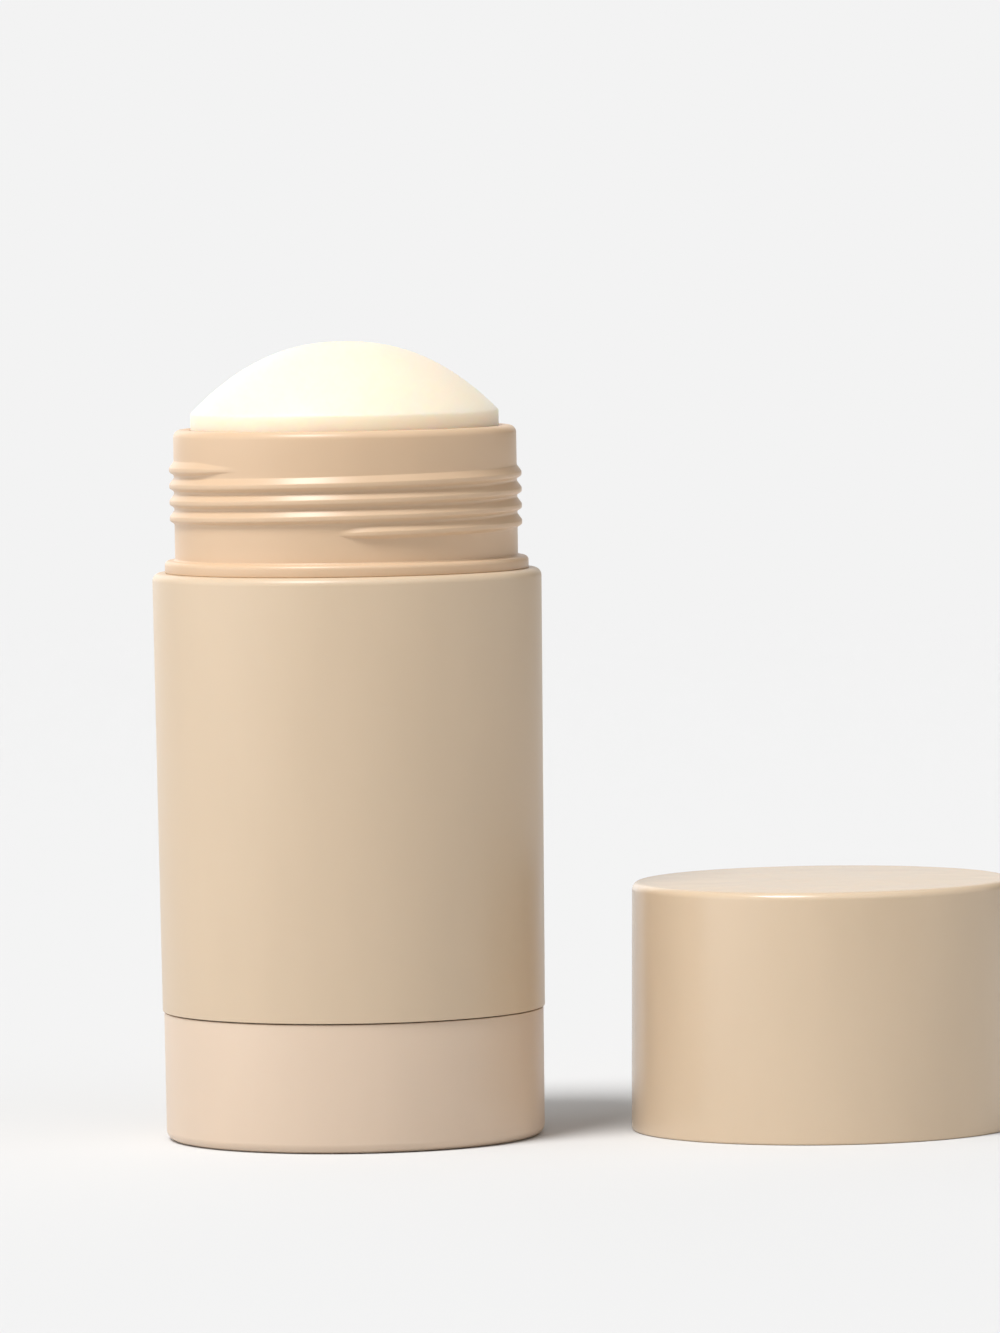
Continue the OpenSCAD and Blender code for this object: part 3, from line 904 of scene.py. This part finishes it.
def floor_paint(name, sizes):
    """Matt painted table top, which fades out into the backdrop far from the object."""
    material, tree, coordinates = start_material(name)
    distance = add_node(tree, "ShaderNodeVectorMath", {0: coordinates}, operation="LENGTH")
    fade = add_node(
        tree, "ShaderNodeMapRange",
        {"Value": distance.outputs["Value"], "From Min": sizes.fade_start, "From Max": sizes.fade_end,
         "To Min": 0.0, "To Max": 1.0},
        interpolation_type="SMOOTHSTEP",
    )
    # Each ray meets either the paint or the backdrop, so no edge shows where one gives way to the other
    chance = add_node(tree, "ShaderNodeTexWhiteNoise", {"Vector": coordinates}, noise_dimensions="3D")
    through = add_node(
        tree, "ShaderNodeMath", {0: fade.outputs["Result"], 1: chance.outputs["Value"]},
        operation="GREATER_THAN",
    )
    matt = add_node(tree, "ShaderNodeBsdfDiffuse", {"Color": tuple(sizes.floor_colour) + (1.0,)})
    clear = add_node(tree, "ShaderNodeBsdfTransparent")
    surface = add_node(
        tree, "ShaderNodeMixShader",
        {0: through.outputs["Value"], 1: matt.outputs["BSDF"], 2: clear.outputs["BSDF"]},
    )
    add_node(tree, "ShaderNodeOutputMaterial", {"Surface": surface.outputs["Shader"]})
    return material


def studio_world(name, sizes):
    """Soft light from a studio around the object. Near the horizon it has a bright wall on the left, a bright
    strip behind, a dark screen behind on the right and a dimmer wall on the right, and half way up a panel in
    front on the right. The camera sees an even backdrop instead."""
    world = bpy.data.worlds.new(name)
    world.use_nodes = True
    tree = world.node_tree
    tree.nodes.clear()
    direction = add_node(tree, "ShaderNodeTexCoord").outputs["Generated"]
    parts = add_node(tree, "ShaderNodeSeparateXYZ", {0: direction})
    # Compass angle: nought is behind the object, a quarter turn is on its right
    compass = add_node(
        tree, "ShaderNodeMath", {0: parts.outputs["X"], 1: parts.outputs["Y"]}, operation="ARCTAN2"
    )
    share = add_node(
        tree, "ShaderNodeMapRange",
        {"Value": compass.outputs["Value"], "From Min": -math.pi, "From Max": math.pi,
         "To Min": 0.0, "To Max": 1.0},
    )
    # Degrees to the right of the back, and the light's level there, near the horizon and half way up
    walls = [
        (-180, 0.1), (-150, 0.35), (-125, 1.55), (-105, 2.05), (-80, 1.4), (-60, 0.6), (-40, 0.6), (-22, 1.7),
        (-9, 1.7), (-1, 0.8), (20, 0.78), (29, 0.01), (58, 0.01), (65, 0.66), (120, 0.66), (130, 0.05),
        (180, 0.1),
    ]
    panels = [
        (-180, 0.8), (-165, 0.3), (-60, 0.35), (60, 0.2), (112, 0.2), (125, 1.2), (172, 1.2), (180, 0.8),
    ]
    levels = []
    for stops in (walls, panels):
        ramp = add_node(tree, "ShaderNodeValToRGB", {"Fac": share.outputs["Result"]})
        while len(ramp.color_ramp.elements) < len(stops):
            ramp.color_ramp.elements.new(0.5)
        for element, (degrees, level) in zip(ramp.color_ramp.elements, stops):
            element.position = degrees / 360 + 0.5
            element.color = (level, level, level, 1.0)
        levels.append(ramp.outputs["Color"])
    # Going up from the horizon the walls give way to the panels, and those to an even ceiling. Going down
    # they give way to the light from beyond the floor's edge. Each row has the light that takes over and
    # the heights at which it starts and ends doing so: straight up is 1
    light = levels[0]
    for level, low, high in (
        (levels[1], 0.40, 0.62),
        ((sizes.ceiling_light,) * 3 + (1.0,), 0.75, 0.92),
        ((sizes.ground_light,) * 3 + (1.0,), 0.0, -0.05),
    ):
        height = add_node(
            tree, "ShaderNodeMapRange",
            {"Value": parts.outputs["Z"], "From Min": low, "From Max": high, "To Min": 0.0, "To Max": 1.0},
            interpolation_type="SMOOTHSTEP",
        )
        mix = add_node(
            tree, "ShaderNodeMix", {0: height.outputs["Result"], 6: light, 7: level}, data_type="RGBA"
        )
        light = mix.outputs[2]
    studio = add_node(tree, "ShaderNodeBackground", {"Color": light, "Strength": 1.0})
    seen = add_node(tree, "ShaderNodeBackground", {"Color": tuple(sizes.backdrop) + (1.0,), "Strength": 1.0})
    path = add_node(tree, "ShaderNodeLightPath")
    surface = add_node(
        tree, "ShaderNodeMixShader",
        {0: path.outputs["Is Camera Ray"], 1: studio.outputs["Background"], 2: seen.outputs["Background"]},
    )
    add_node(tree, "ShaderNodeOutputWorld", {"Surface": surface.outputs["Shader"]})
    return world


# Operators


def settings_of(context):
    """Returns the sizes, finishes and stage settings that the scene holds."""
    return context.scene.deodorant


class DEODORANT_OT_outer_sleeve(bpy.types.Operator):
    """Adds the wide tapered sleeve with its rounded top edge, inner lip, ribs and key notches"""

    bl_idname = "deodorant.outer_sleeve"
    bl_label = "Outer sleeve"

    def execute(self, context):
        sizes = settings_of(context).sleeve
        finish = settings_of(context).finish
        low = SLEEVE_LOW.z
        high = SLEEVE_HIGH.z
        lip_z = high - sizes.lip
        low_radius = sizes.radius - sizes.draft
        bm = bmesh.new()
        lathe(bm, [
            (low_radius - sizes.wall, low, PLAIN_EDGE),
            (low_radius, low, sizes.seam_rounding),
            (sizes.radius, high, sizes.top_rounding),
            (sizes.lip_radius, high, PLAIN_EDGE),
            (sizes.lip_radius, lip_z, PLAIN_EDGE),
            (sizes.radius - sizes.wall, lip_z, SOFT_EDGE),
        ], closed=True)
        merge(bm)
        combine(bm, bars(
            2, 0, sizes.lip_radius - OVERLAP, sizes.notch_radius, sizes.notch_width,
            lip_z - OVERLAP, high + OVERLAP,
        ), "DIFFERENCE")
        combine(bm, bars(
            sizes.ribs, math.pi / sizes.ribs, sizes.lip_radius,
            sizes.radius - sizes.wall / 2 - sizes.draft / 2, sizes.rib_width,
            low + sizes.rib_inset, lip_z - sizes.rib_inset,
        ), "UNION")
        plastic = moulded_plastic("satin_polypropylene_sleeve", finish.sleeve, finish.sleeve_roughness)
        finish_piece(bm, "outer_sleeve", plastic)
        return {"FINISHED"}


class DEODORANT_OT_inner_barrel(bpy.types.Operator):
    """Adds the barrel: the threaded neck with its rim and bead, and the tube that holds the product"""

    bl_idname = "deodorant.inner_barrel"
    bl_label = "Inner barrel"

    def execute(self, context):
        sizes = settings_of(context).barrel
        thread = settings_of(context).thread
        finish = settings_of(context).finish
        seat = SLEEVE_HIGH.z
        rim = BARREL_HIGH.z
        foot = BARREL_LOW.z
        bead_radius = BARREL_HIGH.y
        bead_top = seat + sizes.bead
        wall_radius = sizes.bore + sizes.wall
        neck_radius = sizes.bore + sizes.neck_wall
        floor_top = SLEEVE_LOW.z + sizes.floor_rise
        floor_under = floor_top - sizes.floor
        snap_top = seat - settings_of(context).sleeve.lip - sizes.snap_gap
        snap_low = snap_top - sizes.snap_height
        thread_z = bead_top + thread.rise
        thread_low = thread_z - thread.below
        thread_high = thread_z + thread.pitch * thread.turns + thread.above
        bm = bmesh.new()
        threaded_wall(
            bm, neck_radius, thread.height, thread.foot, thread.crest, thread.lean, thread.rounding,
            thread.pitch, thread.turns, thread.start, thread_z, thread.nose, thread.tail,
            thread_low, thread_high,
        )
        lathe(bm, [
            (neck_radius, thread_low, 0),
            (neck_radius, bead_top, sizes.neck_fillet),
            (bead_radius, bead_top, sizes.bead_rounding),
            (bead_radius, seat, FINE_EDGE),
            (wall_radius, seat, 0),
            (wall_radius, snap_top, 0),
            (wall_radius + sizes.snap, snap_top - sizes.snap_height * SNAP_PEAK, PLAIN_EDGE),
            (wall_radius, snap_low, 0),
            (wall_radius, foot, SOFT_EDGE),
            (sizes.bore, foot, SOFT_EDGE),
            (sizes.bore, floor_under, 0),
            (sizes.hole, floor_under, CRISP_EDGE),
            (sizes.hole, floor_top, CRISP_EDGE),
            (sizes.bore, floor_top, SOFT_EDGE),
            (sizes.bore, rim, sizes.rim_inner_rounding),
            (neck_radius, rim, sizes.rim_rounding),
            (neck_radius, thread_high, 0),
        ])
        merge(bm)
        combine(bm, bars(
            2, 0, wall_radius - OVERLAP, wall_radius + sizes.key, sizes.key_width,
            seat - settings_of(context).sleeve.lip, seat + OVERLAP,
        ), "UNION")
        combine(bm, bars(
            sizes.guides, math.pi / sizes.guides, sizes.bore - sizes.guide_depth, sizes.bore + OVERLAP,
            sizes.guide_width, floor_top - OVERLAP, rim - sizes.guide_drop,
        ), "UNION")
        plastic = moulded_plastic("satin_polypropylene_barrel", finish.barrel, finish.barrel_roughness)
        finish_piece(bm, "inner_barrel", plastic)
        return {"FINISHED"}


class DEODORANT_OT_base_dial(bpy.types.Operator):
    """Adds the turning dial with its foot ring, guide ring, webs and hub"""

    bl_idname = "deodorant.base_dial"
    bl_label = "Base dial"

    def execute(self, context):
        sizes = settings_of(context).dial
        finish = settings_of(context).finish
        radius = DIAL_HIGH.y
        low_radius = radius - sizes.draft
        top = sizes.height
        floor_top = sizes.recess + sizes.floor
        foot_inner = low_radius - sizes.foot_rounding - sizes.foot
        guide_top = top - sizes.guide_drop
        guide_inner = sizes.guide_radius - sizes.guide_wall
        hub = (sizes.socket - 2 * sizes.socket_gap) / math.sqrt(2) + sizes.hub_wall
        hub_top = DIAL_HIGH.z
        gate_low = sizes.recess - sizes.gate_height
        ring_top = sizes.recess + sizes.ring_depth
        bm = bmesh.new()
        lathe(bm, [
            (0, gate_low, 0),
            (sizes.gate_tip, gate_low, CRISP_EDGE),
            (sizes.gate_radius, sizes.recess, CRISP_EDGE),
            (sizes.ring_radius - sizes.ring_width / 2, sizes.recess, 0),
            (sizes.ring_radius - sizes.ring_width / 4, ring_top, 0),
            (sizes.ring_radius + sizes.ring_width / 4, ring_top, 0),
            (sizes.ring_radius + sizes.ring_width / 2, sizes.recess, 0),
            (foot_inner, sizes.recess, RECESS_CORNER),
            (foot_inner, 0, SOFT_EDGE),
            (low_radius, 0, sizes.foot_rounding),
            (radius, top, sizes.seam_rounding),
            (radius - sizes.wall, top, PLAIN_EDGE),
            (low_radius - sizes.wall, floor_top, WALL_CORNER),
            (sizes.guide_radius, floor_top, SOFT_EDGE),
            (sizes.guide_radius, guide_top, SOFT_EDGE),
            (guide_inner, guide_top, SOFT_EDGE),
            (guide_inner, floor_top, SOFT_EDGE),
            (hub, floor_top, SOFT_EDGE),
            (hub, hub_top, SOFT_EDGE),
            (0, hub_top, 0),
        ])
        merge(bm)
        side = sizes.socket / 2
        combine(bm, bars(1, 0, -side, side, sizes.socket, floor_top, hub_top + OVERLAP), "DIFFERENCE")
        combine(bm, bars(
            sizes.webs, math.pi / sizes.webs, hub - OVERLAP, guide_inner + OVERLAP, sizes.web_width,
            floor_top - OVERLAP, top - sizes.web_drop,
        ), "UNION")
        plastic = moulded_plastic("satin_polypropylene_dial", finish.dial, finish.dial_roughness)
        finish_piece(bm, "base_dial", plastic)
        return {"FINISHED"}


class DEODORANT_OT_screw_parts(bpy.types.Operator):
    """Gives the hidden spindle and elevator their natural white acetal"""

    bl_idname = "deodorant.screw_parts"
    bl_label = "Screw parts"

    def execute(self, context):
        finish = settings_of(context).finish
        material = moulded_plastic("natural_acetal", finish.screw, finish.screw_roughness)
        for node in ("spindle", "elevator"):
            mesh = frame["nodes"][node].data
            mesh.materials.clear()
            mesh.materials.append(material)
        return {"FINISHED"}


class DEODORANT_OT_product_stick(bpy.types.Operator):
    """Adds the domed waxy product, with its core, its notches and its pocket for the anchor ring"""

    bl_idname = "deodorant.product_stick"
    bl_label = "Product stick"

    def execute(self, context):
        sizes = settings_of(context).product
        barrel = settings_of(context).barrel
        finish = settings_of(context).finish
        radius = STICK_HIGH.y
        top = STICK_HIGH.z
        platform = STICK_LOW.z
        core_top = SPINDLE_HIGH.z + sizes.core_height
        steps = 40
        dome = [
            (radius * (1 - i / steps), top - sizes.dome * (1 - i / steps) ** sizes.power, 0)
            for i in range(1, steps + 1)
        ]
        bm = bmesh.new()
        lathe(bm, [
            (0, core_top, 0),
            (sizes.core, core_top, WALL_CORNER),
            (sizes.core, platform, 0),
            (radius, platform, 0),
            (radius, top - sizes.dome, sizes.edge_rounding),
            *dome,
        ])
        merge(bm)
        pocket = bmesh.new()
        inner = sizes.anchor - sizes.anchor_wall
        for i in range(sizes.anchor_parts):
            part = bmesh.new()
            draw_profile(part, [
                (inner, platform - OVERLAP, 0),
                (sizes.anchor, platform - OVERLAP, 0),
                (sizes.anchor, platform + sizes.anchor_height, 0),
                (inner, platform + sizes.anchor_height, 0),
            ], closed=True)
            bmesh.ops.spin(
                part, geom=part.verts[:] + part.edges[:], cent=(0, 0, 0), axis=(0, 0, 1), dvec=(0, 0, 0),
                angle=sizes.anchor_part, steps=24,
            )
            bmesh.ops.holes_fill(part, edges=part.edges, sides=4)
            bmesh.ops.recalc_face_normals(part, faces=part.faces)
            turn = Matrix.Rotation(i * 2 * math.pi / sizes.anchor_parts - sizes.anchor_part / 2, 3, "Z")
            bmesh.ops.rotate(part, verts=part.verts, cent=(0, 0, 0), matrix=turn)
            add_to(pocket, part)
        combine(bm, pocket, "DIFFERENCE")
        # The notches reach as far above the ribs as the core does above the spindle
        combine(bm, bars(
            barrel.guides, math.pi / barrel.guides, barrel.bore - sizes.notch_depth, barrel.bore + OVERLAP,
            sizes.notch_width, platform - OVERLAP,
            BARREL_HIGH.z - barrel.guide_drop + sizes.core_height,
        ), "DIFFERENCE")
        finish_piece(bm, "product_stick", poured_wax("poured_wax", finish.wax, finish.wax_roughness))
        return {"FINISHED"}


class DEODORANT_OT_cap(bpy.types.Operator):
    """Adds the cap that stands beside the stick: its smooth shell and its threaded liner"""

    bl_idname = "deodorant.cap"
    bl_label = "Cap"

    def execute(self, context):
        sizes = settings_of(context).cap
        thread = settings_of(context).thread
        barrel = settings_of(context).barrel
        finish = settings_of(context).finish
        centre = ((SHELL_LOW.x + SHELL_HIGH.x) / 2, 0, 0)
        radius = SHELL_HIGH.y
        liner_radius = LINER_HIGH.y
        inner = liner_radius + sizes.gap
        top = SHELL_HIGH.z
        bm = bmesh.new()
        lathe(bm, [
            (0, top - sizes.top, 0),
            (inner, top - sizes.top, SOFT_EDGE),
            (inner, 0, FINE_EDGE),
            (radius, 0, sizes.mouth_rounding),
            (radius - sizes.draft, top, sizes.top_rounding),
            (0, top, 0),
        ], steps=8)
        merge(bm)
        plastic = moulded_plastic("satin_polypropylene_cap", finish.cap, finish.cap_roughness)
        finish_piece(bm, "cap_shell", plastic, centre)

        liner_inner = liner_radius - sizes.liner_wall
        liner_low = LINER_LOW.z
        liner_top = LINER_HIGH.z
        ceiling = liner_top - sizes.liner_top
        crest = barrel.bore + barrel.neck_wall + thread.cap_clearance
        # With the cap on, the liner's ridge runs midway between two turns of the neck's
        turns_apart = (thread.cap_start - thread.start) / (2 * math.pi) + 0.5
        thread_z = barrel.bead - sizes.gap + thread.rise + thread.pitch * turns_apart
        thread_low = thread_z - thread.cap_margin
        thread_high = thread_z + thread.pitch * thread.cap_turns + thread.cap_margin
        bm = bmesh.new()
        threaded_wall(
            bm, liner_inner, crest - liner_inner, thread.cap_foot, thread.cap_crest, 0, FINE_EDGE,
            thread.pitch, thread.cap_turns, thread.cap_start, thread_z, thread.tail, thread.tail,
            thread_low, thread_high,
        )
        lathe(bm, [
            (liner_inner, thread_low, 0),
            (liner_inner, liner_low, PLAIN_EDGE),
            (liner_radius, liner_low, PLAIN_EDGE),
            (liner_radius, liner_top, PLAIN_EDGE),
            (0, liner_top, 0),
        ])
        lathe(bm, [
            (0, ceiling, 0),
            (liner_inner, ceiling, CEILING_CORNER),
            (liner_inner, thread_high, 0),
        ])
        merge(bm)
        plastic = moulded_plastic("satin_polypropylene_liner", finish.liner, finish.liner_roughness)
        finish_piece(bm, "cap_liner", plastic, centre)
        return {"FINISHED"}


class DEODORANT_OT_stage(bpy.types.Operator):
    """Sets the pale floor, the soft light and the camera around the object"""

    bl_idname = "deodorant.stage"
    bl_label = "Stage"

    def execute(self, context):
        sizes = settings_of(context).stage
        scene = context.scene

        data = bpy.data.cameras.new("camera")
        data.sensor_width = 36.0
        data.lens = sizes.lens
        data.clip_start = 0.05
        data.clip_end = 50.0
        camera = bpy.data.objects.new("camera", data)
        scene.collection.objects.link(camera)
        camera.matrix_world = (
            Matrix.Translation(sizes.camera)
            @ Matrix.Rotation(-sizes.yaw, 4, "Z")
            @ Matrix.Rotation(math.pi / 2 - sizes.pitch, 4, "X")
            @ Matrix.Rotation(-sizes.roll, 4, "Z")
        )
        scene.camera = camera
        scene.view_settings.view_transform = "Standard"

        light = bpy.data.lights.new("main_light", "SUN")
        light.energy = sizes.sun_strength
        light.angle = sizes.sun_size
        sun = bpy.data.objects.new("main_light", light)
        scene.collection.objects.link(sun)
        sun.matrix_world = (
            Matrix.Rotation(-sizes.sun_side, 4, "Z")
            @ Matrix.Rotation(math.pi / 2 - sizes.sun_height, 4, "X")
        )

        bm = bmesh.new()
        bmesh.ops.create_circle(bm, cap_ends=True, segments=96, radius=sizes.floor_radius)
        # A hair below the foot, so the two faces don't fight for the same place
        bmesh.ops.translate(bm, verts=bm.verts, vec=(0, 0, -0.01 * MM))
        mesh = bpy.data.meshes.new("floor")
        bm.to_mesh(mesh)
        bm.free()
        mesh.materials.append(floor_paint("pale_floor", sizes))
        floor = bpy.data.objects.new("floor", mesh)
        scene.collection.objects.link(floor)

        scene.world = studio_world("soft_studio", sizes)
        return {"FINISHED"}


# Panel and registration

OPERATORS = (
    DEODORANT_OT_outer_sleeve,
    DEODORANT_OT_inner_barrel,
    DEODORANT_OT_base_dial,
    DEODORANT_OT_screw_parts,
    DEODORANT_OT_product_stick,
    DEODORANT_OT_cap,
    DEODORANT_OT_stage,
)


class DEODORANT_PT_panel(bpy.types.Panel):
    """Lists the pieces of the deodorant stick and its stage"""

    bl_label = "Deodorant stick"
    bl_space_type = "VIEW_3D"
    bl_region_type = "UI"
    bl_category = "Deodorant stick"

    def draw(self, context):
        for operator in OPERATORS:
            self.layout.operator(operator.bl_idname)


CLASSES = (
    SleeveSettings,
    ThreadSettings,
    BarrelSettings,
    DialSettings,
    ProductSettings,
    CapSettings,
    FinishSettings,
    StageSettings,
    DeodorantSettings,
    *OPERATORS,
    DEODORANT_PT_panel,
)


def register():
    """Registers the settings, the operators and the panel."""
    for cls in CLASSES:
        bpy.utils.register_class(cls)
    bpy.types.Scene.deodorant = PointerProperty(type=DeodorantSettings)


def unregister():
    """Takes them away again."""
    del bpy.types.Scene.deodorant
    for cls in reversed(CLASSES):
        bpy.utils.unregister_class(cls)


def main():
    """Makes every piece and the stage."""
    register()
    bpy.ops.deodorant.outer_sleeve()
    bpy.ops.deodorant.inner_barrel()
    bpy.ops.deodorant.base_dial()
    bpy.ops.deodorant.screw_parts()
    bpy.ops.deodorant.product_stick()
    bpy.ops.deodorant.cap()
    bpy.ops.deodorant.stage()


if __name__ == "__main__":
    main()
